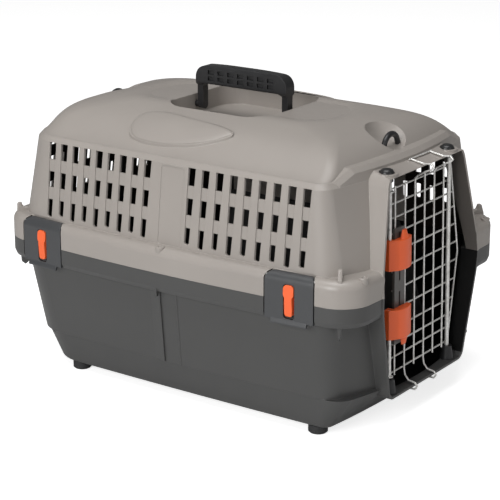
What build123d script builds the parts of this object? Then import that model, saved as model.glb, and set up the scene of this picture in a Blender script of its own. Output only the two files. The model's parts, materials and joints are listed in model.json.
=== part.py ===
from build123d import *

import math
import os

os.makedirs("parts", exist_ok=True)

# Pet carrier. X points out of the door, Y to the carrier's left, Z up. Millimetres.

# Heights above the ground
foot_height = 10.0
ledge_z = 47.0
seam_z = 160.0
wall_top_z = 280.0
crease_top_z = 285.5
crease_step = 5.0
wall = 3.0

# Plan of the joint band that both shells share
band_rear = -245.5
band_front = 245.4
band_half_width = 175.2
band_side_bow = 11.5
band_end_bow = 3.0
band_corner = 38.0
band_up = 29.0
band_down = 22.0
band_shoulder = 10.0
band_lower_edge = 5.0

# Body walls at the seam, at the top of the upper wall, at the base ledge and at the floor
seam_half_width = 164.0
seam_rear = -236.0
upper_seam_front = 215.0
lower_seam_front = 208.0
seam_side_bow = 6.0
top_half_width = 150.5
top_rear = -220.0
top_front = 199.0
top_side_bow = 1.5
ledge_half_width = 153.5
ledge_rear = -216.0
ledge_front = 206.0
ledge_side_bow = 6.0
plinth_half_width = 151.7
plinth_rear = -214.0
plinth_front = 220.0
plinth_front_bow = 24.0
floor_half_width = 143.5
floor_rear = -197.0
floor_front = 200.5
floor_side_bow = 2.0
floor_front_bow = 8.0
floor_round = 5.0
seam_front_bow = 37.5
top_front_bow = 20.0
ledge_front_bow = 35.0
rear_corner = 45.0
top_rear_corner = 49.0
seam_front_corner = 32.0
top_front_corner = 17.0
ledge_front_corner = 24.0
floor_front_corner = 13.0

# Raised shoulder of the front wall beside the door surround
shoulder_rear_x = 130.0
shoulder_top_z = 296.0
shoulder_low_half = 131.0
shoulder_top_half = 104.0
shoulder_chamfer = 5.0

# Roof outlines: height, rear, front, half width, bow of the front, rear and front corner radius
roof_outlines = [
    (285.5, -214.0, 194.0, 144.0, 18.0, 40.0, 14.0),
    (293.0, -211.0, 194.0, 131.0, 10.0, 38.0, 12.0),
    (304.0, -206.0, 187.0, 115.0, 8.0, 36.0, 10.0),
    (313.0, -194.0, 176.0, 99.0, 6.0, 38.0, 12.0),
    (320.0, -169.0, 156.0, 80.0, 5.0, 44.0, 22.0),
    (323.4, -126.0, 121.0, 44.0, 2.0, 34.0, 30.0),
]

# Door surround
surround_top_half = 81.0
surround_seam_half = 110.5
surround_bottom_half = 83.0
surround_bottom_z = 34.0
surround_root_x = 190.0
surround_crease_x = 205.0
surround_crease_z = 290.5
lip_top_x = 237.5
lip_top_z = 283.5
lip_seam_x = 248.3
lip_bottom_x = 244.6
surround_top_corner = 20.0
surround_bottom_corner = 12.0
surround_waist_round = 140.0

# Vents
vent_columns = 9
vent_rear_start = -172.7
vent_rear_pitch = 17.55
vent_front_start = 29.0
vent_front_pitch = 18.75
vent_end_start = 24.0
vent_end_pitch = 17.5
vent_end_columns = 5
vent_top_width = 10.2
vent_low_width = 6.9
vent_lean = 2.3
vent_depth = 1.3
vent_rim = 0.3
vent_end_round = 2.3
vent_top_z = 279.8
vent_heights = (20.2, 18.8)
vent_bridge = 14.0
vent_long = 21.0
vent_short = 18.2

# Shallow recess between the two groups of side vents
recess_rear = -13.0
recess_front = 19.0
recess_bottom = 189.0
recess_top = 278.0
recess_depth = 0.7
recess_round = 4.0

# Raised panels on the roof
panel_rise = 2.0
panel_outline = [
    (-83.0, -118.0),
    (-81.0, -98.0),
    (-60.0, -89.0),
    (-15.0, -92.5),
    (35.0, -98.5),
    (52.0, -106.0),
    (35.0, -118.5),
    (-3.0, -129.5),
    (-34.0, -133.0),
    (-67.0, -130.5),
]

# Handle and its basin
basin_center_x = -7.0
basin_length = 140.0
basin_width = 138.0
basin_corner = 28.0
basin_floor_z = 300.0
handle_center_x = -8.0
handle_length = 128.0
handle_rise = 50.0
handle_pivot_z = 311.5
handle_leg = 8.0
handle_leg_width = 10.0
grip_height = 23.0
grip_width = 17.0
grip_crown = 3.0
grip_round = 14.0
grip_edge = 3.0
grip_pockets = 7
pocket_pitch = 14.0
pocket_size = 9.0
pocket_height = 5.0
pocket_depth = 2.6
handle_pin_radius = 4.0
pivot_clearance = 0.1

# Strap eyelets
eyelet_front_x = 190.0
eyelet_rear_x = -199.0
eyelet_z = 296.0
eyelet_ring = 15.0
eyelet_wire = 3.2
eyelet_leg = 3.0
eyelet_socket = 4.5
dimple_radius = 34.0
dimple_front_x = 194.0
dimple_rear_x = -202.0
dimple_z = 328.5

# Side latches
front_latch_x = 169.5
rear_latch_x = -177.7
latch_width = 59.5
latch_side_gap = 1.4
latch_round = 8.0
latch_block = 140.0
latch_bottom = -22.5
latch_tab_bottom = -27.0
latch_tab_half = 22.0
latch_tab_proud = 1.5
latch_plate = 3.4
latch_pivot_up = 24.5
latch_pivot_in = 4.6
latch_barrel = 3.4
latch_pin_radius = 1.25
latch_pin_into_band = 5.0
running_clearance = 0.06
fixed_clearance = 0.02
notch_depth = 8.3
notch_head_depth = 12.0
notch_head_z = 17.0
pad_shift = 18.0
pad_half = 5.5
keeper_depth = 4.9
keeper_low = -17.0
keeper_high = -13.0
hook_low = -20.5
hook_gap = 0.6
hook_depth = 6.9
slot_width = 13.7
slot_top = 18.2
slot_bottom = -20.4
slot_corner = 3.5
lock_width = 12.4
lock_stem = 9.2
lock_height = 35.0
lock_head = 14.8
lock_head_round = 4.5
lock_stem_round = 2.8
lock_gap = 0.4
lock_proud = 1.8
lock_flange = 2.6
lock_flange_thick = 1.2

# Door
door_x = 229.3
door_tilt = 1.26
hinge_u = 65.0
hinge_w = 1.65
hinge_rod_radius = 2.4
latch_u = -65.5
latch_w = 2.0
latch_rod_radius = 2.2
wire_radius = 1.05
row_back = 1.85
vertical_start = -51.0
vertical_pitch = 21.3
vertical_count = 6
full_rows = [106.0, 89.0, -87.0, -104.5]
short_rows = [73.0, 55.0, 33.5, 11.5, -10.0, -32.0, -54.0, -72.0]
short_row_start = -53.0
frame_top_half = 75.0
frame_waist_half = 92.0
frame_bottom_half = 72.6
guide_clearance = 0.35
bush_hole_clearance = 0.08
bush_stem_radius = 7.2
bush_stem_bottom = 277.0
bush_seat_z = 285.0
bush_rim = 1.5
bush_boss_height = 14.0
bush_cap_radius = 8.2
bush_cap_height = 6.2
bush_dome = 5.4
bush_boss_radius = 12.0
cup_clearance = 0.4
bush_set_back = 3.6
bush_y = 66.0
low_bush_top = 52.8
low_bush_radius = 8.5
low_bush_neck = 5.6
low_spigot_radius = 4.0
track_center = -47.3
track_width = 21.4
track_thick = 3.0
track_middle = -4.0
track_half_height = 66.0
track_slot = 3.2
track_slots = [(2.0, 58.0), (-10.0, -66.0)]
upper_knob_near = 18.0
lower_knob_near = -27.0
knob_right = -32.5
knob_left = -61.5
knob_back_gap = 0.4
knob_front = 14.2
knob_height = 34.0
knob_travel = 12.0
knob_bump_radius = 7.5
knob_bump_depth = 4.6
knob_bump_height = 9.0
rod_collar = 4.6
rod_tip_gap = 0.5

# Hoops over the top of the surround and hooks under its bottom, as X and Z positions
hoop_first = 2
hoop_second = 4
hoop_path = [
    (230.0, 271.5),
    (240.5, 277.6),
    (246.8, 280.4),
    (249.6, 283.6),
    (247.0, 286.8),
    (237.5, 285.9),
    (223.5, 288.2),
    (219.8, 288.9),
]
hoop_bar_x = 220.5
hoop_bar_z = 288.8
hook_first = 1
hook_second = 3
hook_path = [
    (233.2, 46.0),
    (238.0, 40.6),
    (246.6, 39.3),
    (249.4, 35.6),
    (246.6, 31.6),
    (237.0, 31.6),
]

# Rubber feet
foot_radius = 11.0
foot_front_x = 182.5
foot_rear_x = -156.0
foot_y = 129.0


def plan(z, rear, front, half_width, side_bow, front_bow, rear_round, front_round, inset=0.0):
    """Plan outline with bowed sides and ends and rounded corners."""
    rear = rear + inset
    front = front - inset
    side = half_width - inset
    end = side - side_bow
    with BuildSketch(Plane.XY.offset(z)) as outline:
        with BuildLine():
            ThreePointArc((rear, -end), (0, -side), (front, -end))
            ThreePointArc((front, -end), (front + front_bow, 0), (front, end))
            ThreePointArc((front, end), (0, side), (rear, end))
            ThreePointArc((rear, end), (rear - band_end_bow, 0), (rear, -end))
        make_face()
        fillet(outline.vertices().sort_by(Axis.X)[:2], rear_round - inset)
        fillet(outline.vertices().sort_by(Axis.X)[-2:], front_round - inset)
    return outline.sketch


def wall_top(z, inset):
    """Outline of the upper wall where its crease is."""
    return plan(z, top_rear, top_front, top_half_width, top_side_bow, top_front_bow,
                top_rear_corner, top_front_corner, inset)


def upper_wall(inset):
    """Outlines of the upper wall at the seam, at its crease and above the crease."""
    return [
        plan(seam_z, seam_rear, upper_seam_front, seam_half_width, seam_side_bow,
             seam_front_bow, rear_corner, seam_front_corner, inset),
        wall_top(wall_top_z - inset, inset),
        wall_top(crease_top_z - inset, inset + crease_step),
    ]


def lower_wall(inset):
    """Outlines of the base wall at the seam and at its ledge."""
    return [
        plan(seam_z, seam_rear, lower_seam_front, seam_half_width, seam_side_bow,
             seam_front_bow, rear_corner, seam_front_corner, inset),
        plan(ledge_z - inset, ledge_rear, ledge_front, ledge_half_width, ledge_side_bow,
             ledge_front_bow, rear_corner, ledge_front_corner, inset),
    ]


def foot_wall(inset, bottom_z):
    """Outlines of the plinth below the ledge."""
    return [
        plan(ledge_z - inset, plinth_rear, plinth_front, plinth_half_width, ledge_side_bow,
             plinth_front_bow, rear_corner, ledge_front_corner, inset),
        plan(bottom_z, floor_rear, floor_front, floor_half_width, floor_side_bow,
             floor_front_bow, rear_corner, floor_front_corner, inset),
    ]


def roof_sections(inset, grow=0.0):
    """Outlines of the roof, lowered and drawn in by the inset."""
    sections = []
    for z, rear, front, half_width, bow, rear_round, front_round in roof_outlines:
        sections.append(plan(z - inset + grow, rear, front, half_width, top_side_bow, bow,
                             rear_round, front_round, inset - grow))
    return sections


def surround_outline(inset):
    """Door surround seen along X."""
    with BuildSketch(Plane.YZ.offset(surround_root_x - 15)) as outline:
        with BuildLine():
            Polyline(
                (-surround_top_half + inset, surround_crease_z - inset),
                (-surround_seam_half + inset, seam_z),
                (-surround_bottom_half + inset, surround_bottom_z + inset),
                (surround_bottom_half - inset, surround_bottom_z + inset),
                (surround_seam_half - inset, seam_z),
                (surround_top_half - inset, surround_crease_z - inset),
                close=True,
            )
        make_face()
        fillet(outline.vertices().group_by(Axis.Y)[1], surround_waist_round)
        fillet(outline.vertices().group_by(Axis.Y)[0], surround_bottom_corner - inset)
        fillet(outline.vertices().group_by(Axis.Y)[-1], surround_top_corner - inset)
    return outline.sketch


def surround_side(lip_out, inset):
    """Door surround seen along Y."""
    with BuildSketch(Plane.XZ) as profile:
        with BuildLine():
            Polyline(
                (surround_root_x - lip_out, surround_bottom_z + inset),
                (lip_bottom_x + lip_out, surround_bottom_z + inset),
                (lip_seam_x + lip_out, seam_z),
                (lip_top_x + lip_out, lip_top_z - inset),
                (surround_crease_x, surround_crease_z - inset),
                (surround_root_x - lip_out, surround_crease_z - inset),
                close=True,
            )
        make_face()
    return profile.sketch


# Outer solids that the two shells are cut from

with BuildPart() as band:
    band_plan = plan(seam_z, band_rear, band_front, band_half_width, band_side_bow,
                     band_end_bow, band_corner + 4, band_corner)
    extrude(band_plan, amount=band_up)
    fillet(band.faces().sort_by(Axis.Z)[-1].edges(), band_shoulder)
with BuildPart() as lower_band:
    extrude(band_plan, amount=-band_down)
    chamfer(lower_band.faces().sort_by(Axis.Z)[0].edges(), band_lower_edge, 2)

with BuildPart() as surround:
    extrude(surround_outline(0), amount=90)
    extrude(surround_side(0, 0), amount=200, both=True, mode=Mode.INTERSECT)

with BuildPart() as opening:
    extrude(surround_outline(wall), amount=110)
    extrude(surround_side(20, wall), amount=200, both=True, mode=Mode.INTERSECT)

with BuildPart() as upper_solid:
    loft(upper_wall(0), ruled=True)
    loft(roof_sections(0))

with BuildPart() as shoulder:
    rise = (shoulder_top_z - wall_top_z) / (wall_top_z - seam_z)
    narrow = (seam_half_width - top_half_width) * rise
    loft([wall_top(wall_top_z - 2, 0), wall_top(shoulder_top_z, narrow)], ruled=True)
    with BuildSketch(Plane.YZ.offset(shoulder_rear_x)):
        with BuildLine():
            Polyline(
                (-shoulder_low_half, wall_top_z - 2),
                (-shoulder_low_half, crease_top_z),
                (-shoulder_top_half, shoulder_top_z),
                (shoulder_top_half, shoulder_top_z),
                (shoulder_low_half, crease_top_z),
                (shoulder_low_half, wall_top_z - 2),
                close=True,
            )
        make_face()
    extrude(amount=120, mode=Mode.INTERSECT)
    front_face = shoulder.faces().sort_by(Axis.X)[-1]
    chamfer(front_face.edges().filter_by_position(Axis.Z, wall_top_z, shoulder_top_z + 1,
                                                  inclusive=(False, True)), shoulder_chamfer)

with BuildPart() as lower_solid:
    loft(lower_wall(0), ruled=True)
with BuildPart() as foot_solid:
    loft(foot_wall(0, foot_height), ruled=True)
    fillet(foot_solid.faces().sort_by(Axis.Z)[0].edges(), floor_round)



# Inside of the carrier, left solid round the handle basin and the two dimples

def basin_outline(z, offset):
    """Outline of the handle basin."""
    with BuildSketch(Plane.XY.offset(z)) as outline:
        with Locations((basin_center_x, 0)):
            RectangleRounded(basin_length + 2 * offset, basin_width + 2 * offset,
                             basin_corner + offset)
    return outline.sketch


with BuildPart() as cavity:
    loft(upper_wall(wall), ruled=True)
    loft(roof_sections(wall))
    loft(lower_wall(wall), ruled=True)
    loft(foot_wall(wall, foot_height + wall), ruled=True)
    extrude(basin_outline(basin_floor_z - wall, wall), amount=60, mode=Mode.SUBTRACT)
    with Locations((dimple_front_x, 0, dimple_z), (dimple_rear_x, 0, dimple_z)):
        Sphere(dimple_radius + wall, rotation=(90, 0, 0), mode=Mode.SUBTRACT)

# Vents: shallow grooves down the walls with open slots in them

vent_sides = [vent_rear_start + vent_rear_pitch * n for n in range(vent_columns)]
vent_sides += [vent_front_start + vent_front_pitch * n for n in range(vent_columns)]
vent_ends = [vent_end_start + vent_end_pitch * n for n in range(vent_end_columns)]
vent_ends += [-position for position in vent_ends]


def vent_profile(plane, positions, lean, rim):
    """Vent columns on a plane, narrowing downwards; a rim leaves bridges across them."""
    tall = sum(vent_heights) + 2 * vent_bridge + vent_long
    with BuildSketch(plane) as profile:
        for index, position in enumerate(positions):
            last = vent_short if index % 2 else vent_long
            top = vent_top_z
            bottom = vent_top_z - tall + vent_long - last
            wide = vent_top_width / 2 - rim
            narrow = vent_low_width / 2 - rim
            with BuildSketch(mode=Mode.PRIVATE) as column:
                with BuildLine():
                    Polyline(
                        (position - wide, top),
                        (position + wide, top),
                        (position - lean + narrow, bottom),
                        (position - lean - narrow, bottom),
                        close=True,
                    )
                make_face()
                fillet(column.vertices().group_by(Axis.Y)[0], vent_end_round)
            add(column.sketch)
        if rim:
            low = vent_top_z
            for height in vent_heights:
                low -= height + vent_bridge
                with Locations((0, low + vent_bridge / 2)):
                    Rectangle(900, vent_bridge, mode=Mode.SUBTRACT)
    return profile.sketch


side_plane = Plane.XZ.offset(-200)
rear_plane = Plane(origin=(-300, 0, 0), x_dir=(0, 1, 0), z_dir=(1, 0, 0))

with BuildPart() as vent_grooves:
    extrude(vent_profile(side_plane, vent_sides, vent_lean, 0), amount=400)
    extrude(vent_profile(rear_plane, vent_ends, 0, 0), amount=120)
    loft(upper_wall(vent_depth), ruled=True, mode=Mode.SUBTRACT)

with BuildPart() as vent_slots:
    extrude(vent_profile(side_plane, vent_sides, vent_lean, vent_rim), amount=400)
    extrude(vent_profile(rear_plane, vent_ends, 0, vent_rim), amount=120)

with BuildPart() as side_recess:
    with BuildSketch(side_plane):
        with Locations(((recess_rear + recess_front) / 2, (recess_bottom + recess_top) / 2)):
            RectangleRounded(recess_front - recess_rear, recess_top - recess_bottom, recess_round)
    extrude(amount=400)
    loft(upper_wall(recess_depth), ruled=True, mode=Mode.SUBTRACT)

# Places of the four side latches

band_radius = (band_front**2 + band_side_bow**2) / (2 * band_side_bow)
latch_places = {
    "front_right": (front_latch_x, -1),
    "front_left": (front_latch_x, 1),
    "rear_right": (rear_latch_x, -1),
    "rear_left": (rear_latch_x, 1),
}


def latch_face(x, side):
    """Plane touching the band at a latch, X along the band, Y up."""
    turn = math.asin(x / band_radius)
    drop = band_radius - math.sqrt(band_radius**2 - x**2)
    return Plane(
        origin=(x, side * (band_half_width - drop), seam_z),
        x_dir=(-side * math.cos(turn), math.sin(turn), 0),
        z_dir=(math.sin(turn), side * math.cos(turn), 0),
    )


def latch_section(x, side):
    """Plane across the band at a latch, X outward, Y up."""
    face = latch_face(x, side)
    return Plane(origin=face.origin, x_dir=face.z_dir, z_dir=face.z_dir.cross(Vector(0, 0, 1)))


def across_band(x, side, points, half, mode=Mode.ADD):
    """Prism along the band from a profile of outward and upward positions."""
    with BuildSketch(latch_section(x, side)) as profile:
        with BuildLine():
            Polyline(*points, close=True)
        make_face()
    extrude(profile.sketch, amount=half, both=True, mode=mode)


def face_outline(x, side, width, corner, mode):
    """Tall block with rounded top corners, as wide as a latch or its notch."""
    high = band_up + (width - latch_width) / 2
    with BuildSketch(latch_face(x, side)) as outline:
        with Locations((0, high - latch_block / 2)):
            Rectangle(width, latch_block)
        fillet(outline.vertices().group_by(Axis.Y)[-1], corner)
    extrude(outline.sketch, amount=30, both=True, mode=mode)


def cut_notch(x, side):
    """Notch in the band for a latch."""
    with BuildPart(mode=Mode.PRIVATE) as notch:
        across_band(x, side, notch_profile, notch_half)
        face_outline(x, side, 2 * notch_half, latch_round + latch_side_gap, Mode.INTERSECT)
    return notch.part


def keeper_pads(x, side, points, mode=Mode.ADD):
    """Pair of short prisms either side of the lock."""
    for shift in (-pad_shift, pad_shift):
        plane = latch_section(x, side)
        plane.origin = plane.origin + plane.z_dir * shift
        with BuildSketch(plane) as profile:
            with BuildLine():
                Polyline(*points, close=True)
            make_face()
        extrude(profile.sketch, amount=pad_half, both=True, mode=mode)


def pivot_rod(x, side, radius, half, mode=Mode.ADD):
    """Round bar along a latch pivot."""
    with BuildSketch(latch_section(x, side)) as profile:
        with Locations((-latch_pivot_in, latch_pivot_up)):
            Circle(radius)
    extrude(profile.sketch, amount=half, both=True, mode=mode)


notch_half = latch_width / 2 + latch_side_gap
pin_half = notch_half + latch_pin_into_band
notch_profile = [
    (6, -40),
    (-notch_depth, -40),
    (-notch_depth, notch_head_z),
    (-notch_head_depth, notch_head_z),
    (-notch_head_depth, 40),
    (6, 40),
]
keeper_profile = [
    (-notch_depth - 0.8, keeper_low),
    (-keeper_depth, keeper_low),
    (-keeper_depth, keeper_high),
    (-notch_depth - 0.8, keeper_high + 3),
]

# Places of the door bushes

tilt = math.radians(door_tilt)
door_plane = Plane(
    origin=(door_x, 0, seam_z),
    x_dir=(0, 1, 0),
    z_dir=(math.cos(tilt), 0, math.sin(tilt)),
)


def door_point(u, v, w):
    """Point given across the door, up the door and out of it."""
    return door_plane.from_local_coords(Vector(u, v, w))


def on_rod(u, w, z):
    """Point of a door rod at a height above the ground."""
    v = (z - seam_z - w * math.sin(tilt)) / math.cos(tilt)
    return door_point(u, v, w)


bush_places = {"hinge": (hinge_u, hinge_w), "latch": (latch_u, latch_w)}


def bush_center(name, z):
    """Centre of an upper bush, set a little behind the rod."""
    u, w = bush_places[name]
    point = on_rod(u, w, bush_seat_z)
    return Vector(point.X - bush_set_back, math.copysign(bush_y, u), z)


def disc(center, radius):
    """Level circle at a point."""
    with BuildSketch(Plane(origin=center)) as outline:
        Circle(radius)
    return outline.sketch


# The two shells

with BuildPart() as top_shell:
    add(upper_solid.part)
    add(band.part)
    add(surround.part)
    add(shoulder.part)
    for name in bush_places:
        extrude(disc(bush_center(name, bush_seat_z + bush_rim), bush_boss_radius),
                amount=-bush_boss_height)
    split(bisect_by=Plane.XY.offset(seam_z), keep=Keep.TOP)
    for raised in (-1, 1):
        with BuildPart(mode=Mode.PRIVATE) as panel:
            with BuildSketch(Plane.XY.offset(wall_top_z)) as outline:
                with BuildLine():
                    corners = [(x, -raised * y) for x, y in panel_outline]
                    Spline(*corners, periodic=True)
                make_face()
            extrude(amount=60)
            loft(roof_sections(0, panel_rise), mode=Mode.INTERSECT)
        add(panel.part)
    add(cavity.part, mode=Mode.SUBTRACT)
    add(opening.part, mode=Mode.SUBTRACT)
    extrude(basin_outline(basin_floor_z, 0), amount=60, mode=Mode.SUBTRACT)
    with Locations((dimple_front_x, 0, dimple_z), (dimple_rear_x, 0, dimple_z)):
        Sphere(dimple_radius, rotation=(90, 0, 0), mode=Mode.SUBTRACT)
    add(side_recess.part, mode=Mode.SUBTRACT)
    add(vent_grooves.part, mode=Mode.SUBTRACT)
    add(vent_slots.part, mode=Mode.SUBTRACT)
    for x, side in latch_places.values():
        add(cut_notch(x, side), mode=Mode.SUBTRACT)
        pivot_rod(x, side, latch_pin_radius, pin_half, Mode.SUBTRACT)
    with BuildSketch(Plane.YZ.offset(basin_center_x - basin_length / 2 - wall - 1)):
        with Locations((0, handle_pivot_z)):
            Circle(handle_pin_radius + pivot_clearance)
    extrude(amount=basin_length + 2 * wall + 2, mode=Mode.SUBTRACT)
    for x in (eyelet_front_x, eyelet_rear_x):
        for side in (-1, 1):
            extrude(disc((x, side * eyelet_ring, eyelet_z + eyelet_socket), eyelet_wire),
                    amount=-eyelet_leg - eyelet_socket, mode=Mode.SUBTRACT)
    for name in bush_places:
        extrude(disc(bush_center(name, bush_seat_z + 1), bush_stem_radius),
                amount=-12, mode=Mode.SUBTRACT)
        extrude(disc(bush_center(name, bush_seat_z), bush_cap_radius + cup_clearance),
                amount=10, mode=Mode.SUBTRACT)
top_shell.part.label = "top_shell"
export_step(top_shell.part, "parts/top_shell.step")

with BuildPart() as base_shell:
    add(lower_solid.part)
    add(foot_solid.part)
    add(lower_band.part)
    add(surround.part)
    split(bisect_by=Plane.XY.offset(seam_z), keep=Keep.BOTTOM)
    add(cavity.part, mode=Mode.SUBTRACT)
    add(opening.part, mode=Mode.SUBTRACT)
    for x, side in latch_places.values():
        add(cut_notch(x, side), mode=Mode.SUBTRACT)
        keeper_pads(x, side, keeper_profile)
    for u, w in bush_places.values():
        point = on_rod(u, w, surround_bottom_z + wall)
        extrude(disc(point, low_spigot_radius + fixed_clearance), amount=-2 * wall,
                mode=Mode.SUBTRACT)
base_shell.part.label = "base_shell"
export_step(base_shell.part, "parts/base_shell.step")

# Handle

with BuildPart() as carry_handle:
    left = handle_center_x - handle_length / 2
    right = handle_center_x + handle_length / 2
    top = handle_pivot_z + handle_rise
    with BuildSketch(Plane.XZ) as side_view:
        with BuildLine():
            Line((left, handle_pivot_z - 5), (left, top - grip_crown))
            ThreePointArc((left, top - grip_crown), (handle_center_x, top), (right, top - grip_crown))
            Line((right, top - grip_crown), (right, handle_pivot_z - 5))
            Line((right, handle_pivot_z - 5), (left, handle_pivot_z - 5))
        make_face()
        fillet(side_view.vertices().group_by(Axis.Y)[-1], grip_round)
        with Locations((handle_center_x, top - grip_height - 30)):
            RectangleRounded(handle_length - 2 * handle_leg, 60, 5, mode=Mode.SUBTRACT)
    extrude(amount=40, both=True)
    with BuildSketch(Plane.YZ.offset(-200)) as end_view:
        with Locations((0, handle_pivot_z)):
            Circle(handle_leg_width / 2)
        with Locations((0, handle_pivot_z + 20)):
            Rectangle(handle_leg_width, 40)
        with Locations((0, top - grip_height / 2 - 1.5)):
            RectangleRounded(grip_width, grip_height + 3, 5)
    extrude(amount=400, mode=Mode.INTERSECT)
    for row in (0, 1):
        for n in range(grip_pockets):
            x = handle_center_x + (n - (grip_pockets - 1) / 2) * pocket_pitch
            z = top - grip_height + 6.5 + row * (pocket_height + 2.5)
            for y in (-grip_width / 2, grip_width / 2):
                with Locations((x, y, z)):
                    Box(pocket_size, 2 * pocket_depth, pocket_height, mode=Mode.SUBTRACT)
    pin_left = basin_center_x - basin_length / 2 - wall + 0.2
    pin_right = basin_center_x + basin_length / 2 + wall - 0.2
    with BuildSketch(Plane.YZ.offset(pin_left)):
        with Locations((0, handle_pivot_z)):
            Circle(handle_pin_radius)
    extrude(amount=left + 4 - pin_left)
    with BuildSketch(Plane.YZ.offset(right - 4)):
        with Locations((0, handle_pivot_z)):
            Circle(handle_pin_radius)
    extrude(amount=pin_right - right + 4)
carry_handle.part.label = "carry_handle"
export_step(carry_handle.part, "parts/carry_handle.step")

# Strap eyelets

for name, x in (("front", eyelet_front_x), ("rear", eyelet_rear_x)):
    with BuildPart() as eyelet:
        with BuildSketch(Plane.XY.offset(eyelet_z)):
            with Locations((x, eyelet_ring)):
                Circle(eyelet_wire)
        revolve(axis=Axis((x, 0, eyelet_z), (1, 0, 0)), revolution_arc=180)
        for side in (-1, 1):
            extrude(disc((x, side * eyelet_ring, eyelet_z), eyelet_wire), amount=-eyelet_leg)
    eyelet.part.label = "strap_eyelet_" + name
    export_step(eyelet.part, "parts/strap_eyelet_" + name + ".step")

# Side latches with their locks and pivot pins

latch_top = band_up
top_turn = latch_top - band_shoulder
latch_outer = [
    (-latch_plate, latch_bottom),
    (0, latch_bottom),
    (0, top_turn),
]
round_middle = (-band_shoulder * (1 - math.sqrt(0.5)), top_turn + band_shoulder * math.sqrt(0.5))
latch_inner = [
    (-band_shoulder, latch_top),
    (-band_shoulder + 0.4, latch_top - 2),
    (-latch_pivot_in - latch_barrel, latch_pivot_up - 0.5),
    (-latch_pivot_in - latch_barrel, latch_pivot_up - 2.5),
    (-latch_plate, latch_pivot_up - latch_barrel - 4.5),
    (-latch_plate, latch_bottom),
]
tab_profile = [
    (-latch_plate, latch_bottom + 4),
    (-1.0, latch_tab_bottom),
    (latch_tab_proud, latch_tab_bottom),
    (latch_tab_proud, latch_tab_bottom + 1.5),
    (-0.2, latch_bottom + 1.5),
    (-0.2, latch_bottom + 4),
]
hook_high = keeper_low - hook_gap
hook_profile = [
    (-latch_plate + 0.5, hook_low),
    (-hook_depth, hook_low + 0.6),
    (-hook_depth, hook_high - 0.3),
    (-hook_depth + 0.3, hook_high),
    (-latch_plate + 0.5, hook_high),
]
lock_top = slot_top - lock_gap
lock_bottom = lock_top - lock_height
lock_back = -latch_plate - lock_gap
lock_profile = [
    (lock_back, lock_bottom),
    (lock_proud - 1.2, lock_bottom),
    (lock_proud, lock_bottom + lock_height * 0.52),
    (lock_proud - 0.9, lock_top),
    (lock_back, lock_top),
]
flange_profile = [
    (lock_back - lock_flange_thick, lock_bottom + 1),
    (lock_back, lock_bottom + 1),
    (lock_back, lock_top - 4),
    (lock_back - lock_flange_thick, lock_top - 4),
]

for name, (x, side) in latch_places.items():
    with BuildPart() as side_latch:
        with BuildSketch(latch_section(x, side)) as profile:
            with BuildLine():
                Polyline(*latch_outer)
                ThreePointArc(latch_outer[-1], round_middle, latch_inner[0])
                Polyline(*latch_inner)
            make_face()
        extrude(amount=latch_width / 2, both=True)
        face_outline(x, side, latch_width, latch_round, Mode.INTERSECT)
        across_band(x, side, tab_profile, latch_tab_half)
        keeper_pads(x, side, hook_profile)
        with BuildSketch(latch_face(x, side)):
            with Locations((0, (slot_top + slot_bottom) / 2)):
                RectangleRounded(slot_width, slot_top - slot_bottom, slot_corner)
        extrude(amount=20, both=True, mode=Mode.SUBTRACT)
        pivot_rod(x, side, latch_pin_radius + running_clearance, latch_width, Mode.SUBTRACT)
    side_latch.part.label = "side_latch_" + name
    export_step(side_latch.part, "parts/side_latch_" + name + ".step")

    with BuildPart() as latch_lock:
        across_band(x, side, lock_profile, lock_width)
        with BuildSketch(latch_face(x, side)):
            with Locations((0, lock_top - lock_head / 2)):
                RectangleRounded(lock_width, lock_head, lock_head_round)
            with Locations((0, (lock_top - 2 + lock_bottom) / 2)):
                RectangleRounded(lock_stem, lock_height - 2, lock_stem_round)
        extrude(amount=20, both=True, mode=Mode.INTERSECT)
        across_band(x, side, flange_profile, lock_width / 2 + lock_flange)
    latch_lock.part.label = "latch_lock_" + name
    export_step(latch_lock.part, "parts/latch_lock_" + name + ".step")

    with BuildPart() as latch_pin:
        pivot_rod(x, side, latch_pin_radius, pin_half)
    latch_pin.part.label = "latch_pin_" + name
    export_step(latch_pin.part, "parts/latch_pin_" + name + ".step")

# Door grid, one welded piece of wire


def wire(points, radius=wire_radius):
    """Round wire through points, rounded where it bends."""
    pieces = []
    for start, end in zip(points, points[1:]):
        along = Vector(end) - Vector(start)
        with BuildSketch(Plane(origin=start, z_dir=along)) as outline:
            Circle(radius)
        pieces.append(extrude(outline.sketch, amount=along.length, mode=Mode.PRIVATE))
    for point in points[1:-1]:
        pieces.append(Solid.make_sphere(radius, Plane(origin=point), angle1=-90))
    return pieces


def frame_half(v):
    """Half width of the door frame wire at a height on the door."""
    if v > 0:
        return frame_waist_half + (frame_top_half - frame_waist_half) * v / full_rows[0]
    return frame_waist_half + (frame_bottom_half - frame_waist_half) * v / full_rows[-1]


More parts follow.
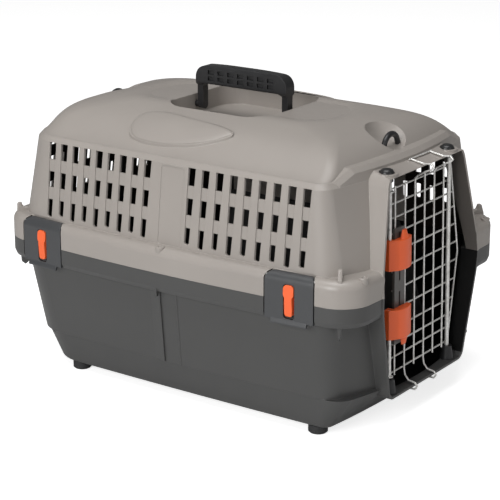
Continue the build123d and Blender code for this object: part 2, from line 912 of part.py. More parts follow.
with BuildPart() as door_grid:
    wires = []
    outer = []
    for u, v in (
        (frame_top_half, full_rows[0]),
        (frame_waist_half, 0),
        (frame_bottom_half, full_rows[-1]),
        (-frame_bottom_half, full_rows[-1]),
        (-frame_waist_half, 0),
        (-frame_top_half, full_rows[0]),
    ):
        outer.append(door_point(u, v, -row_back if abs(v) > 0 else -row_back * 0.5))
    wires += wire([outer[-1]] + outer + [outer[0]])
    for v in full_rows[1:3]:
        half = frame_half(v)
        wires += wire([door_point(-half, v, -row_back), door_point(half, v, -row_back)])
    for v in short_rows:
        wires += wire([door_point(short_row_start, v, -row_back),
                       door_point(frame_half(v), v, -row_back)])
    columns = [vertical_start + vertical_pitch * n for n in range(vertical_count)]
    for u in columns:
        wires += wire([door_point(u, full_rows[-1] - 3, 0), door_point(u, full_rows[0] + 3, 0)])
    hoop_side = []
    for n in (hoop_first, hoop_second):
        y = columns[n]
        start = door_point(y, full_rows[0] + 2, 0)
        wires += wire([start] + [Vector(x, y, z) for x, z in hoop_path])
        hoop_side.append(Vector(hoop_bar_x, y, hoop_bar_z))
    wires += wire([hoop_side[0] - Vector(0, 3, 0), hoop_side[1] + Vector(0, 3, 0)])
    for n in (hook_first, hook_second):
        y = columns[n]
        start = door_point(y, full_rows[-1] - 2, 0)
        wires += wire([start] + [Vector(x, y, z) for x, z in hook_path])
    for v in (full_rows[0], full_rows[-1]):
        guide = Plane(origin=door_point(latch_u, v, latch_w), z_dir=door_plane.y_dir)
        ring = latch_rod_radius + guide_clearance + wire_radius
        wires.append(Solid.make_torus(ring, wire_radius, guide))
    add(wires)
door_grid.part.label = "door_grid"
export_step(door_grid.part, "parts/door_grid.step")

# Rods, bushes, track and knobs of the door

rod_top_z = bush_seat_z - 3
rod_bottom_z = surround_bottom_z + wall + 2
hinge_top = on_rod(hinge_u, hinge_w, rod_top_z)
hinge_bottom = on_rod(hinge_u, hinge_w, rod_bottom_z)


def round_bar(start, end, radius, mode=Mode.ADD):
    """Round bar between two points."""
    along = Vector(end) - Vector(start)
    with BuildSketch(Plane(origin=start, z_dir=along)) as outline:
        Circle(radius)
    extrude(outline.sketch, amount=along.length, mode=mode)


with BuildPart() as hinge_rod:
    round_bar(hinge_bottom, hinge_top, hinge_rod_radius)
hinge_rod.part.label = "hinge_rod"
export_step(hinge_rod.part, "parts/hinge_rod.step")

bores = {"hinge": hinge_rod_radius + bush_hole_clearance, "latch": latch_rod_radius + 0.6}
for name, (u, w) in bush_places.items():
    with BuildPart() as bush_top:
        extrude(disc(bush_center(name, bush_stem_bottom), bush_stem_radius),
                amount=bush_seat_z - bush_stem_bottom + 1)
        with BuildSketch(Plane(origin=bush_center(name, bush_seat_z))):
            Circle(bush_cap_radius)
        extrude(amount=bush_cap_height)
        fillet(bush_top.faces().sort_by(Axis.Z)[-1].edges(), bush_dome)
        round_bar(on_rod(u, w, bush_stem_bottom - 5), on_rod(u, w, rod_top_z + 0.5),
                  bores[name], Mode.SUBTRACT)
    bush_top.part.label = name + "_bush_top"
    export_step(bush_top.part, "parts/" + name + "_bush_top.step")

    floor_point = on_rod(u, w, surround_bottom_z + wall)
    with BuildPart() as bush_bottom:
        with BuildSketch(Plane(origin=floor_point)):
            Circle(low_bush_radius)
        with BuildSketch(Plane(origin=(floor_point.X, floor_point.Y, low_bush_top))):
            Circle(low_bush_neck)
        loft()
        extrude(disc(floor_point, low_spigot_radius), amount=-wall)
        round_bar(on_rod(u, w, rod_bottom_z - 0.5), on_rod(u, w, low_bush_top + 5),
                  bores[name], Mode.SUBTRACT)
    bush_bottom.part.label = name + "_bush_bottom"
    export_step(bush_bottom.part, "parts/" + name + "_bush_bottom.step")


def door_profile(v):
    """Plane level with the door at a height on it, X across and Y outward."""
    return Plane(origin=door_point(0, v, 0), x_dir=door_plane.x_dir, z_dir=-door_plane.y_dir)


track_back = wire_radius + 0.05
with BuildPart() as latch_track:
    with BuildSketch(Plane(origin=door_point(0, 0, track_back), x_dir=door_plane.x_dir,
                           z_dir=door_plane.z_dir)):
        with Locations((track_center, track_middle)):
            RectangleRounded(track_width, 2 * track_half_height, 2)
        for near, far in track_slots:
            with Locations((track_center, (near + far) / 2)):
                SlotOverall(abs(far - near), track_slot, rotation=90, mode=Mode.SUBTRACT)
    extrude(amount=track_thick)
latch_track.part.label = "latch_track"
export_step(latch_track.part, "parts/latch_track.step")

knob_back = track_back + track_thick + knob_back_gap
rod_z = {"upper": bush_stem_bottom - rod_tip_gap, "lower": low_bush_top + rod_tip_gap}
for name, near, direction in (("upper", upper_knob_near, 1), ("lower", lower_knob_near, -1)):
    start = near if direction > 0 else near - knob_height
    far = near + direction * knob_height
    rod_start = on_rod(latch_u, latch_w, seam_z + near + direction * 1.0)
    rod_end = on_rod(latch_u, latch_w, rod_z[name])
    with BuildPart() as knob:
        with BuildSketch(door_profile(start)) as outline:
            with BuildLine():
                Polyline((knob_right, knob_back), (knob_right, knob_front - 4))
                ThreePointArc((knob_right, knob_front - 4), (knob_left + 14, knob_front),
                              (knob_left, knob_front - 2.5))
                Polyline(
                    (knob_left, knob_front - 2.5),
                    (latch_u - rod_collar - 0.5, latch_w + 2.5),
                    (latch_u - rod_collar - 0.5, latch_w - rod_collar),
                    (latch_u + rod_collar, latch_w - rod_collar),
                    (latch_u + rod_collar, knob_back),
                    (knob_right, knob_back),
                )
            make_face()
        extrude(amount=-knob_height)
        chamfer(knob.faces().sort_by(Axis.Z)[-1 if direction > 0 else 0].edges(), 0.9)
        bump_base = far - direction * 3
        with BuildSketch(door_profile(bump_base)):
            with Locations((track_center, knob_back + 0.4 + knob_bump_depth)):
                Ellipse(knob_bump_radius, knob_bump_depth)
        extrude(amount=-direction * (knob_bump_height + 3), taper=14)
        with BuildSketch(door_profile(start + 4)):
            with Locations((track_center, track_back + 1.6)):
                Rectangle(track_slot - 0.8, 2 * (knob_back - track_back - 1.0))
        extrude(amount=-(knob_height - 8))
        round_bar(rod_start - door_plane.y_dir * (direction * 5.0), rod_end,
                  latch_rod_radius, Mode.SUBTRACT)
    knob.part.label = name + "_knob"
    export_step(knob.part, "parts/" + name + "_knob.step")

    with BuildPart() as latch_rod:
        round_bar(rod_start, rod_end, latch_rod_radius)
    latch_rod.part.label = name + "_latch_rod"
    export_step(latch_rod.part, "parts/" + name + "_latch_rod.step")

# Rubber feet

for name, x in (("front", foot_front_x), ("rear", foot_rear_x)):
    for hand, side in (("right", -1), ("left", 1)):
        with BuildPart() as foot:
            extrude(disc((x, side * foot_y, 0), foot_radius), amount=foot_height)
            chamfer(foot.faces().sort_by(Axis.Z)[0].edges(), 1.5)
        foot.part.label = "foot_" + name + "_" + hand
        export_step(foot.part, "parts/foot_" + name + "_" + hand + ".step")
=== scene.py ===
import json
import math

import bmesh
import bpy
from mathutils import Matrix, Vector


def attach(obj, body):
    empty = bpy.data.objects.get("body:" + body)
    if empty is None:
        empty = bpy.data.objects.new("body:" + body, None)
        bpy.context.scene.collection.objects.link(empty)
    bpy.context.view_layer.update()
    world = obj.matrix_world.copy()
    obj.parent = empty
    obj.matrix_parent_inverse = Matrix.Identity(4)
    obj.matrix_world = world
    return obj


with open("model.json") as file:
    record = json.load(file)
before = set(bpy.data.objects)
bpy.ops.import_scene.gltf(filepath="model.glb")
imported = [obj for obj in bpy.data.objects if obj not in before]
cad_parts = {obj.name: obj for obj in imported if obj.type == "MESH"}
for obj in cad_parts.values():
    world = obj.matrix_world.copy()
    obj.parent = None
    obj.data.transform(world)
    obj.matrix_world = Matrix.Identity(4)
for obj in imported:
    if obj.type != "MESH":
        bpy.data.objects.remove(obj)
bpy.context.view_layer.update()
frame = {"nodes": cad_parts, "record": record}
nodes = frame["nodes"]
scene = bpy.context.scene
print("frame loaded, nodes:", len(nodes))

# Camera

viewpoint = {
    "azimuth": 35.2,  # degrees round from the right side towards the door
    "elevation": 17.45,
    "distance": 2.06,
    "target": (0, 0, 0.1425),
    "lens": 124.56,
    "sensor": 36,
    "farClip": 50,
}


def direction(azimuth, elevation):
    # unit vector from the carrier towards a place round it, in degrees
    turn = math.radians(azimuth)
    rise = math.radians(elevation)
    return Vector((
        math.sin(turn) * math.cos(rise),
        -math.cos(turn) * math.cos(rise),
        math.sin(rise),
    ))


camera = bpy.data.objects.new("camera", bpy.data.cameras.new("camera"))
scene.collection.objects.link(camera)
scene.camera = camera
away = direction(viewpoint["azimuth"], viewpoint["elevation"])
camera.location = Vector(viewpoint["target"]) + away * viewpoint["distance"]
camera.rotation_euler = (-away).to_track_quat("-Z", "Y").to_euler()
camera.data.lens = viewpoint["lens"]
camera.data.sensor_width = viewpoint["sensor"]
camera.data.clip_end = viewpoint["farClip"]

# Studio

studio = {
    "skyLight": 0.15,  # light that the white room gives
    "skySeen": 1.0,  # brightness of the room itself
    "floorGlow": 0.75,
    "floorSize": 6.0,
    "keyPlace": (2.2, -0.3, 0.9),
    "keyAim": (0.1, 0, 0.2),
    "keySize": (1.2, 1.2),
    "keyPower": 5,
    "topPlace": (0.1, -0.5, 2.4),
    "topAim": (0, 0, 0.2),
    "topSize": (1.8, 1.4),
    "topPower": 36,
    "sidePlace": (0.15, -2.5, 1.05),
    "sideAim": (0, 0, 0.15),
    "sideSize": (1.4, 1.1),
    "sidePower": 40,
}

scene.view_settings.view_transform = "Standard"
world = bpy.data.worlds.new("studio")
scene.world = world
world.use_nodes = True
worldTree = world.node_tree
background = worldTree.nodes["Background"]
background.inputs["Color"].default_value = (1, 1, 1, 1)
lightPath = worldTree.nodes.new("ShaderNodeLightPath")
strength = worldTree.nodes.new("ShaderNodeMapRange")
strength.inputs["To Min"].default_value = studio["skyLight"]
strength.inputs["To Max"].default_value = studio["skySeen"]
worldTree.links.new(lightPath.outputs["Is Camera Ray"], strength.inputs["Value"])
worldTree.links.new(strength.outputs["Result"], background.inputs["Strength"])


def areaLight(spot):
    # soft panel light aimed at the carrier
    data = bpy.data.lights.new(spot + "Light", "AREA")
    data.shape = "RECTANGLE"
    data.size, data.size_y = studio[spot + "Size"]
    data.energy = studio[spot + "Power"]
    light = bpy.data.objects.new(spot + "Light", data)
    light.location = studio[spot + "Place"]
    aim = Vector(studio[spot + "Aim"]) - Vector(studio[spot + "Place"])
    light.rotation_euler = aim.to_track_quat("-Z", "Y").to_euler()
    scene.collection.objects.link(light)


for spot in ("key", "top", "side"):
    areaLight(spot)

floorMesh = bpy.data.meshes.new("floor")
edge = studio["floorSize"]
corners = [(-edge, -edge, 0), (edge, -edge, 0), (edge, edge, 0), (-edge, edge, 0)]
floorMesh.from_pydata(corners, [], [(0, 1, 2, 3)])
floor = bpy.data.objects.new("floor", floorMesh)
scene.collection.objects.link(floor)
print("camera and studio ready")


# Materials

class Recipe:
    # a material under construction, with short ways to add its nodes
    def __init__(self, name):
        self.made = bpy.data.materials.new(name)
        self.made.use_nodes = True
        self.tree = self.made.node_tree
        self.shader = self.tree.nodes["Principled BSDF"]
        self.place = self.node("ShaderNodeTexCoord").outputs["Object"]

    def node(self, kind, **settings):
        made = self.tree.nodes.new(kind)
        for key, value in settings.items():
            setattr(made, key, value)
        return made

    def feed(self, socket, value):
        if isinstance(value, bpy.types.NodeSocket):
            self.tree.links.new(value, socket)
        else:
            socket.default_value = value

    def noise(self, scale, detail=2.0, rough=0.5, stretch=(1, 1, 1)):
        # noise value on the object, per metre
        mapping = self.node("ShaderNodeMapping")
        self.feed(mapping.inputs["Vector"], self.place)
        self.feed(mapping.inputs["Scale"], stretch)
        texture = self.node("ShaderNodeTexNoise")
        self.feed(texture.inputs["Vector"], mapping.outputs["Vector"])
        self.feed(texture.inputs["Scale"], scale)
        self.feed(texture.inputs["Detail"], detail)
        self.feed(texture.inputs["Roughness"], rough)
        return texture.outputs["Fac"]

    def span(self, value, low, high, start=0.0, end=1.0):
        # value from low..high carried to start..end
        made = self.node("ShaderNodeMapRange")
        self.feed(made.inputs["Value"], value)
        self.feed(made.inputs["From Min"], low)
        self.feed(made.inputs["From Max"], high)
        self.feed(made.inputs["To Min"], start)
        self.feed(made.inputs["To Max"], end)
        return made.outputs["Result"]

    def calc(self, operation, *values):
        made = self.node("ShaderNodeMath", operation=operation)
        for socket, value in zip(made.inputs, values):
            self.feed(socket, value)
        return made.outputs["Value"]

    def blend(self, amount, first, second):
        # colour between two colours
        made = self.node("ShaderNodeMix", data_type="RGBA")
        self.feed(made.inputs["Factor"], amount)
        self.feed(made.inputs["A"], first)
        self.feed(made.inputs["B"], second)
        return made.outputs["Result"]

    def axes(self):
        split = self.node("ShaderNodeSeparateXYZ")
        self.feed(split.inputs["Vector"], self.place)
        return split.outputs["X"], split.outputs["Y"], split.outputs["Z"]

    def rounded(self, radius, flat=0.98, sharp=0.80):
        # softened normal of moulded edges, and how much of an edge a place is
        soft = self.node("ShaderNodeBevel", samples=6)
        self.feed(soft.inputs["Radius"], radius)
        true = self.node("ShaderNodeNewGeometry")
        dot = self.node("ShaderNodeVectorMath", operation="DOT_PRODUCT")
        self.feed(dot.inputs[0], soft.outputs["Normal"])
        self.feed(dot.inputs[1], true.outputs["Normal"])
        edge = self.span(dot.outputs["Value"], flat, sharp)
        return soft.outputs["Normal"], edge

    def bump(self, heights, normal=None):
        # adds (height, strength, distance) layers to the surface
        for height, strength, distance in heights:
            made = self.node("ShaderNodeBump")
            self.feed(made.inputs["Strength"], strength)
            self.feed(made.inputs["Distance"], distance)
            self.feed(made.inputs["Height"], height)
            if normal is not None:
                self.feed(made.inputs["Normal"], normal)
            normal = made.outputs["Normal"]
        self.feed(self.shader.inputs["Normal"], normal)


def rgb(color, scale=1.0):
    return (color[0] * scale, color[1] * scale, color[2] * scale, 1)


def mouldedPlastic(name, look, inside=None):
    recipe = Recipe(name)
    cloud = recipe.noise(look["cloudScale"], 4)
    streak = recipe.noise(look["streakScale"], 3, stretch=(1, 1, 0.12))
    grain = recipe.noise(look["grainScale"], 2)
    ripple = recipe.noise(look["rippleScale"], 1)
    color = recipe.blend(
        recipe.span(cloud, *look["noiseSpan"]),
        rgb(look["color"], 1 - look["uneven"]),
        rgb(look["color"], 1 + look["uneven"]),
    )
    normal, edge = recipe.rounded(look["edgeRound"])
    # lightened edges: part edge wear, part painted highlight
    wearAndHighlight = recipe.calc("MULTIPLY", edge, look["edgeWear"])
    color = recipe.blend(wearAndHighlight, color, rgb(look["wornColor"]))
    sheen = look["sheen"]
    # painted shade: the cabin's inner faces are coloured near black, with a low specular level
    if inside:
        shadeMask = inside(recipe, look["doorShade"])
        color = recipe.blend(shadeMask, color, rgb(look["insideColor"]))
        sheen = recipe.span(shadeMask, 0.0, 1.0, look["sheen"], look["insideSheen"])
    recipe.feed(recipe.shader.inputs["Base Color"], color)
    smoother = look["roughness"] - look["streakSmoother"]
    rougher = look["roughness"] + look["streakRougher"]
    rough = recipe.span(streak, *look["noiseSpan"], smoother, rougher)
    recipe.feed(recipe.shader.inputs["Roughness"], rough)
    recipe.feed(recipe.shader.inputs["Specular IOR Level"], sheen)
    recipe.bump([
        (ripple, look["rippleBump"], look["rippleDeep"]),
        (grain, look["grainBump"], look["grainDeep"]),
    ], normal)
    return recipe.made


plasticBase = {
    "cloudScale": 9.0,
    "streakScale": 38.0,
    "grainScale": 1500.0,
    "rippleScale": 60.0,
    "noiseSpan": (0.3, 0.7),  # noise values that carry the full change
    "streakSmoother": 0.05,
    "streakRougher": 0.07,
    "rippleBump": 0.10,
    "rippleDeep": 0.0006,
    "grainBump": 0.22,
    "grainDeep": 0.00025,
    "edgeRound": 0.0011,
    # how much edges are lightened, part wear and part painted highlight
    "edgeWear": 0.35,
    "uneven": 0.035,
    "sheen": 0.5,
    # specular level on the painted-shade inner faces
    "insideSheen": 0.12,
}

taupeShell = dict(
    plasticBase,
    color=(0.318, 0.290, 0.266),
    # lighter edge colour, part wear and part painted highlight
    wornColor=(0.50, 0.47, 0.43),
    # near-black painted shade for the cabin's inner faces
    insideColor=(0.020, 0.017, 0.015),
    doorShade=0.72,
    roughness=0.38,
    # raised for stronger painted edge highlights
    edgeWear=0.6,
)
darkShell = dict(
    plasticBase,
    color=(0.056, 0.056, 0.055),
    # lighter edge colour, part wear and part painted highlight
    wornColor=(0.10, 0.10, 0.096),
    # near-black painted shade for the cabin's inner faces
    insideColor=(0.006, 0.006, 0.006),
    doorShade=0.95,
    roughness=0.38,
)
clipPlastic = dict(
    plasticBase,
    color=(0.050, 0.052, 0.055),
    wornColor=(0.10, 0.105, 0.11),
    roughness=0.38,
    edgeRound=0.0008,
)
orangePlastic = dict(
    plasticBase,
    color=(0.88, 0.130, 0.030),
    wornColor=(0.94, 0.26, 0.10),
    roughness=0.34,
    uneven=0.02,
    edgeRound=0.0009,
)
blackPlastic = dict(
    plasticBase,
    color=(0.016, 0.016, 0.017),
    wornColor=(0.05, 0.05, 0.052),
    roughness=0.36,
    edgeRound=0.0008,
)
greyPlastic = dict(
    plasticBase,
    color=(0.105, 0.100, 0.095),
    wornColor=(0.18, 0.17, 0.165),
    roughness=0.40,
    edgeRound=0.0004,
)


# where the painted inside shade falls on the shells
cabin = {
    "middle": (0, 0, 0.16),  # inner faces look towards this point
    "seamHalf": 0.1590,  # half width of the inside at the seam
    "lean": 0.105,  # how much the walls lean in, per metre of height
    "floorTop": 0.020,
    "doorway": 0.203,  # ahead of this, only the door surround
    "basinMiddle": -0.007,
    "basinHalf": 0.0725,
    "basinFloor": 0.2975,
}


def paintedCabinShade(recipe, doorShade):
    # painted shade mask: 1 on the inner faces of the two shells, less round the doorway, 0 outside
    x, y, z = recipe.axes()
    side = recipe.calc("ABSOLUTE", y)
    high = recipe.calc("ABSOLUTE", recipe.calc("SUBTRACT", z, cabin["middle"][2]))
    half = recipe.calc("SUBTRACT", cabin["seamHalf"], recipe.calc("MULTIPLY", high, cabin["lean"]))
    within = recipe.calc("LESS_THAN", side, half)

    normal = recipe.node("ShaderNodeNewGeometry").outputs["Normal"]
    outward = recipe.node("ShaderNodeVectorMath", operation="SUBTRACT")
    recipe.feed(outward.inputs[0], recipe.place)
    recipe.feed(outward.inputs[1], cabin["middle"])
    facing = recipe.node("ShaderNodeVectorMath", operation="DOT_PRODUCT")
    recipe.feed(facing.inputs[0], normal)
    recipe.feed(facing.inputs[1], outward.outputs["Vector"])
    inward = recipe.calc("LESS_THAN", facing.outputs["Value"], 0.0)

    # level faces that look up are ledges and rims, except the floor
    split = recipe.node("ShaderNodeSeparateXYZ")
    recipe.feed(split.inputs["Vector"], normal)
    level = recipe.calc("GREATER_THAN", split.outputs["Z"], 0.5)
    raised = recipe.calc("GREATER_THAN", z, cabin["floorTop"])
    notLedge = recipe.calc("SUBTRACT", 1.0, recipe.calc("MULTIPLY", level, raised))

    alongBasin = recipe.calc("ABSOLUTE", recipe.calc("SUBTRACT", x, cabin["basinMiddle"]))
    inBasin = recipe.calc("LESS_THAN", recipe.calc("MAXIMUM", alongBasin, side), cabin["basinHalf"])
    inBasin = recipe.calc("MULTIPLY", inBasin, recipe.calc("GREATER_THAN", z, cabin["basinFloor"]))
    notBasin = recipe.calc("SUBTRACT", 1.0, inBasin)

    ahead = recipe.calc("GREATER_THAN", x, cabin["doorway"])
    shade = recipe.span(ahead, 0.0, 1.0, 1.0, doorShade)
    shadeMask = recipe.calc("MULTIPLY", within, inward)
    shadeMask = recipe.calc("MULTIPLY", shadeMask, notLedge)
    shadeMask = recipe.calc("MULTIPLY", shadeMask, notBasin)
    return recipe.calc("MULTIPLY", shadeMask, shade)


def zincWire(name, look):
    recipe = Recipe(name)
    tarnish = recipe.noise(look["tarnishScale"], 3)
    drawn = recipe.noise(look["drawScale"], 2, stretch=(1, 1, 0.15))
    tarnished = recipe.span(tarnish, *look["tarnishSpan"])
    color = recipe.blend(tarnished, rgb(look["bright"]), rgb(look["dull"]))
    recipe.feed(recipe.shader.inputs["Base Color"], color)
    recipe.feed(recipe.shader.inputs["Metallic"], look["metallic"])
    rough = recipe.span(drawn, *look["drawSpan"], *look["roughness"])
    recipe.feed(recipe.shader.inputs["Roughness"], rough)
    recipe.bump([(drawn, look["drawBump"], look["drawDeep"])])
    return recipe.made


wirePlating = {
    "bright": (0.86, 0.85, 0.83),
    "dull": (0.62, 0.61, 0.58),
    "tarnishScale": 90.0,
    "tarnishSpan": (0.35, 0.7),
    "drawScale": 900.0,
    "drawSpan": (0.3, 0.7),
    "drawBump": 0.15,
    "drawDeep": 0.0002,
    "roughness": (0.22, 0.36),
    "metallic": 0.45,
}


def footRubber(name, look):
    recipe = Recipe(name)
    speck = recipe.noise(look["speckScale"], 4)
    dust = recipe.span(speck, *look["speckSpan"])
    color = recipe.blend(dust, rgb(look["dark"]), rgb(look["dusty"]))
    recipe.feed(recipe.shader.inputs["Base Color"], color)
    recipe.feed(recipe.shader.inputs["Roughness"], look["roughness"])
    recipe.bump([(speck, look["speckBump"], look["speckDeep"])])
    return recipe.made


feetRubber = {
    "dark": (0.016, 0.016, 0.017),
    "dusty": (0.034, 0.034, 0.035),
    "speckScale": 700.0,
    "speckSpan": (0.35, 0.65),
    "speckBump": 0.3,
    "speckDeep": 0.0003,
    "roughness": 0.72,
}


def paperFloor(name, look):
    recipe = Recipe(name)
    fibre = recipe.noise(look["fibreScale"], 4)
    color = recipe.blend(fibre, rgb(look["shaded"]), rgb(look["pale"]))
    recipe.feed(recipe.shader.inputs["Base Color"], color)
    recipe.feed(recipe.shader.inputs["Roughness"], look["roughness"])
    recipe.feed(recipe.shader.inputs["Emission Color"], rgb(look["glowColor"]))
    seen = recipe.node("ShaderNodeLightPath").outputs["Is Camera Ray"]
    glow = recipe.calc("MULTIPLY", seen, studio["floorGlow"])
    recipe.feed(recipe.shader.inputs["Emission Strength"], glow)
    return recipe.made


floorPaper = {
    "shaded": (0.78, 0.78, 0.78),
    "pale": (0.82, 0.82, 0.82),
    "glowColor": (1, 1, 1),
    "fibreScale": 30.0,
    "roughness": 0.9,
}


finishes = {
    "taupe_plastic": mouldedPlastic("taupePlastic", taupeShell, paintedCabinShade),
    "dark_plastic": mouldedPlastic("darkPlastic", darkShell, paintedCabinShade),
    "latch_plastic": mouldedPlastic("clipPlastic", clipPlastic),
    "orange_plastic": mouldedPlastic("orangePlastic", orangePlastic),
    "black_plastic": mouldedPlastic("blackPlastic", blackPlastic),
    "grey_plastic": mouldedPlastic("greyPlastic", greyPlastic),
    "zinc_wire": zincWire("zincWire", wirePlating),
    "rubber": footRubber("footRubber", feetRubber),
}
# added details lie outside the cabin, so theirs have no painted inside shade
smallFinishes = {
    "taupe_plastic": mouldedPlastic("taupeDetail", taupeShell),
    "dark_plastic": mouldedPlastic("darkDetail", darkShell),
}
floorMesh.materials.append(paperFloor("paperFloor", floorPaper))

slotOf = {entry["node"]: entry["material_slot"] for entry in frame["record"]["subparts"]}
for name, node in nodes.items():
    node.data.materials.clear()
    node.data.materials.append(finishes[slotOf[name]])
print("finishes assigned")


# Small moulded details that stand on the shells

def addPiece(name, build, body, slotName):
    # new mesh object made by a bmesh builder, riding on a body
    mesh = bpy.data.meshes.new(name)
    shape = bmesh.new()
    build(shape)
    bmesh.ops.recalc_face_normals(shape, faces=shape.faces)
    shape.to_mesh(mesh)
    shape.free()
    mesh.materials.append(smallFinishes.get(slotName) or finishes[slotName])
    piece = bpy.data.objects.new(name, mesh)
    scene.collection.objects.link(piece)
    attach(piece, body)
    return piece


def softenEdges(piece, width, segments=2, sharperThan=35):
    # rounds the edges that turn more than an angle, in degrees
    bevel = piece.modifiers.new("softEdges", "BEVEL")
    bevel.width = width
    bevel.segments = segments
    bevel.limit_method = "ANGLE"
    bevel.angle_limit = math.radians(sharperThan)
    bevel.harden_normals = True


def plate(shape, outline, thick, place, thin=1.0):
    # plate from (out, up) points, thick across, thinner towards its bottom, put in place
    ups = [up for _, up in outline]
    low, high = min(ups), max(ups)
    rims = []
    for side in (-0.5, 0.5):
        rim = []
        for out, up in outline:
            share = thin + (1 - thin) * (up - low) / (high - low)
            rim.append(shape.verts.new(place @ Vector((out, side * thick * share, up))))
        rims.append(rim)
    count = len(outline)
    shape.faces.new(rims[0])
    shape.faces.new(rims[1])
    for n in range(count):
        after = (n + 1) % count
        shape.faces.new((rims[0][n], rims[0][after], rims[1][after], rims[1][n]))


cornerFin = {
    "frontCentre": (0.2074, 0.1257),  # centre of the band's corner, for each end
    "rearCentre": (-0.2035, 0.1217),
    "frontTurn": 60,  # degrees out from straight ahead
    "rearTurn": 46,
    "thickUpper": 0.0052,
    "thickLower": 0.0050,
    "thinUpper": 1.0,
    "thinLower": 0.5,
    "softUpper": 0.0017,
    "softLower": 0.0008,
    "frontUpper": [(0.010, 0.1885), (0.0375, 0.1795), (0.0368, 0.190), (0.0335, 0.2005),
                   (0.0292, 0.2012), (0.0270, 0.1955), (0.018, 0.1925)],
    "rearUpper": [(0.010, 0.1885), (0.0415, 0.1795), (0.0405, 0.1985), (0.0355, 0.1995),
                  (0.0340, 0.1940), (0.020, 0.1925)],
    "frontLower": [(0.012, 0.1385), (0.0345, 0.1385), (0.0325, 0.1235), (0.0285, 0.1205),
                   (0.0260, 0.1260), (0.020, 0.132)],
    "rearLower": [(0.014, 0.1385), (0.0390, 0.1385), (0.0380, 0.1255), (0.0335, 0.1215),
                  (0.0300, 0.1245), (0.024, 0.131)],
}

for end, forward in (("front", 1), ("rear", -1)):
    centreX, centreY = cornerFin[end + "Centre"]
    for hand, side in (("Right", -1), ("Left", 1)):
        turn = math.radians(cornerFin[end + "Turn"])
        heading = math.atan2(side * math.sin(turn), forward * math.cos(turn))
        place = Matrix.Translation((centreX, side * centreY, 0)) @ Matrix.Rotation(heading, 4, "Z")
        for level, slotName in (("Upper", "taupe_plastic"), ("Lower", "dark_plastic")):
            outline = cornerFin[end + level]
            thick, thin = cornerFin["thick" + level], cornerFin["thin" + level]
            fin = addPiece(
                "cornerFin" + level + end.capitalize() + hand,
                lambda shape: plate(shape, outline, thick, place, thin),
                "carrier",
                slotName,
            )
            softenEdges(fin, cornerFin["soft" + level], 3)


def lathe(shape, profile, place, steps=32):
    # turned shape from (radius, height) points
    rings = []
    for radius, height in profile:
        ring = []
        for n in range(steps):
            angle = 2 * math.pi * n / steps
            point = Vector((radius * math.cos(angle), radius * math.sin(angle), height))
            ring.append(shape.verts.new(place @ point))
        rings.append(ring)
    for lower, upper in zip(rings, rings[1:]):
        for n in range(steps):
            after = (n + 1) % steps
            shape.faces.new((lower[n], lower[after], upper[after], upper[n]))
    shape.faces.new(rings[0])
    shape.faces.new(rings[-1])
    for face in shape.faces:
        face.smooth = True


screwBoss = {
    "frontPlace": (0.2405, 0.1350),
    "middlePlace": (-0.0024, 0.1697),
    "frontTop": 0.1908,
    "middleTop": 0.1898,
    "radius": 0.0054,
    "foot": 0.0040,
    "hole": 0.0021,
    "depth": 0.0045,
    "tall": 0.019,
    "waist": 0.93,  # share of the radius, below the collar
    "waistDown": 0.0030,
    "collarDown": 0.0008,
    "edge": 0.0004,
    "edgeDown": 0.0001,
}

for spot in ("front", "middle"):
    x, y = screwBoss[spot + "Place"]
    for hand, side in (("Right", -1), ("Left", 1)):
        place = Matrix.Translation((x, side * y, screwBoss[spot + "Top"]))
        profile = [
            (screwBoss["foot"], -screwBoss["tall"]),
            (screwBoss["radius"] * screwBoss["waist"], -screwBoss["waistDown"]),
            (screwBoss["radius"], -screwBoss["collarDown"]),
            (screwBoss["radius"] - screwBoss["edge"], -screwBoss["edgeDown"]),
            (screwBoss["radius"] - 2 * screwBoss["edge"], 0),
            (screwBoss["hole"] + screwBoss["edge"], 0),
            (screwBoss["hole"], -screwBoss["edge"]),
            (screwBoss["hole"], -screwBoss["depth"]),
        ]
        addPiece(
            "screwBoss" + spot.capitalize() + hand,
            lambda shape: lathe(shape, profile, place),
            "carrier",
            "taupe_plastic",
        )


def wallAt(shell, x, z, side, outside=0.3):
    # place on a shell's outer wall, found from outside
    back = shell.matrix_world.inverted()
    start = back @ Vector((x, side * outside, z))
    _, place, _, _ = shell.ray_cast(start, back.to_3x3() @ Vector((0, -side, 0)))
    return shell.matrix_world @ place


def raisedRib(shape, shell, look, side):
    # rib down a wall: across holds (x, rise) points from rear to front
    rims = []
    for step in range(look["steps"] + 1):
        z = look["bottom"] + (look["top"] - look["bottom"]) * step / look["steps"]
        rim = []
        for x, rise in look["across"]:
            place = wallAt(shell, x, z, side)
            place.y += side * rise
            rim.append(shape.verts.new(place))
        for x in (look["across"][-1][0], look["across"][0][0]):
            place = wallAt(shell, x, z, side)
            place.y -= side * look["sunk"]
            rim.append(shape.verts.new(place))
        rims.append(rim)
    count = len(rims[0])
    for lower, upper in zip(rims, rims[1:]):
        for n in range(count):
            after = (n + 1) % count
            shape.faces.new((lower[n], lower[after], upper[after], upper[n]))
    shape.faces.new(rims[0])
    shape.faces.new(rims[-1])


# the middle of the base wall has a step at the rear and a fine bead at the front
wallStep = {
    "across": [(-0.0250, -0.0002), (-0.0170, 0.0010), (-0.0100, 0.0020), (-0.0093, 0.0018),
               (-0.0091, 0.0)],
    "bottom": 0.0475,
    "top": 0.1372,
    "sunk": 0.0010,
    "steps": 14,
}
wallBead = {
    "across": [(0.0118, 0.0), (0.0124, 0.0006), (0.0132, 0.0007), (0.0140, 0.0)],
    "bottom": 0.0475,
    "top": 0.1372,
    "sunk": 0.0010,
    "steps": 14,
}
bandTab = {
    "x": -0.0055,
    "thick": 0.0025,
    "outline": [(0.1680, 0.1500), (0.1751, 0.1500), (0.1751, 0.1334), (0.1742, 0.1318),
                (0.1712, 0.1318), (0.1680, 0.1390)],
    "soft": 0.0006,
}

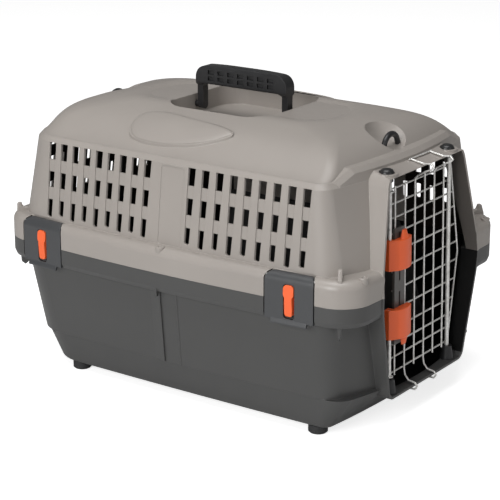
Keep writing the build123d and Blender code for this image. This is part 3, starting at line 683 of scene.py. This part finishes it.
for hand, side in (("Right", -1), ("Left", 1)):
    for name, look in (("wallStep", wallStep), ("wallBead", wallBead)):
        addPiece(
            name + hand,
            lambda shape: raisedRib(shape, nodes["base_shell"], look, side),
            "carrier",
            "dark_plastic",
        )
    place = Matrix.Translation((bandTab["x"], 0, 0)) @ Matrix.Rotation(side * math.pi / 2, 4, "Z")
    tab = addPiece(
        "bandTab" + hand,
        lambda shape: plate(shape, bandTab["outline"], bandTab["thick"], place),
        "carrier",
        "dark_plastic",
    )
    softenEdges(tab, bandTab["soft"])


def smoothLoop(points, between):
    # closed smooth loop through flat points
    loop = []
    count = len(points)
    for n in range(count):
        before, here, after, last = [Vector(points[(n + k) % count]) for k in (-1, 0, 1, 2)]
        for step in range(between):
            t = step / between
            loop.append(0.5 * (
                2 * here
                + (after - before) * t
                + (2 * before - 5 * here + 4 * after - last) * t ** 2
                + (3 * here - before - 3 * after + last) * t ** 3
            ))
    return loop


def pillow(shape, shell, look, side):
    # softly domed pad that follows the roof inside an outline
    loop = smoothLoop([(x, side * y) for x, y in look["outline"]], look["between"])
    middle = sum(loop, Vector((0, 0))) / len(loop)
    back = shell.matrix_world.inverted()
    down = back.to_3x3() @ Vector((0, 0, -1))

    def onRoof(flat, rise):
        start = back @ Vector((flat.x, flat.y, look["above"]))
        _, place, normal, _ = shell.ray_cast(start, down)
        return shell.matrix_world @ (place + normal * rise)

    rims = []
    for share, rise in look["dome"]:
        rims.append([shape.verts.new(onRoof(middle + (flat - middle) * share, rise))
                     for flat in loop])
    crown = shape.verts.new(onRoof(middle, look["dome"][-1][1]))
    count = len(loop)
    for outer, inner in zip(rims, rims[1:]):
        for n in range(count):
            after = (n + 1) % count
            shape.faces.new((outer[n], outer[after], inner[after], inner[n]))
    for n in range(count):
        shape.faces.new((rims[-1][n], rims[-1][(n + 1) % count], crown))
    floorCrown = shape.verts.new(onRoof(middle, look["sunk"]))
    for n in range(count):
        shape.faces.new((rims[0][(n + 1) % count], rims[0][n], floorCrown))
    for face in shape.faces:
        face.smooth = True


roofPanel = {
    "outline": [(-0.0830, 0.1180), (-0.0810, 0.0980), (-0.0600, 0.0890), (-0.0150, 0.0925),
                (0.0350, 0.0985), (0.0520, 0.1060), (0.0350, 0.1185), (-0.0030, 0.1295),
                (-0.0340, 0.1330), (-0.0670, 0.1305)],
    "between": 6,
    "dome": [(0.985, -0.0004), (0.978, 0.0003), (0.955, 0.0010), (0.92, 0.0015), (0.86, 0.0019),
             (0.76, 0.0021), (0.55, 0.0023), (0.28, 0.0024)],
    "sunk": -0.0008,
    "above": 0.4,  # height that the roof is found from
}
for hand, side in (("Right", -1), ("Left", 1)):
    addPiece(
        "roofPanel" + hand,
        lambda shape: pillow(shape, nodes["top_shell"], roofPanel, side),
        "carrier",
        "taupe_plastic",
    )
print("shell details added")
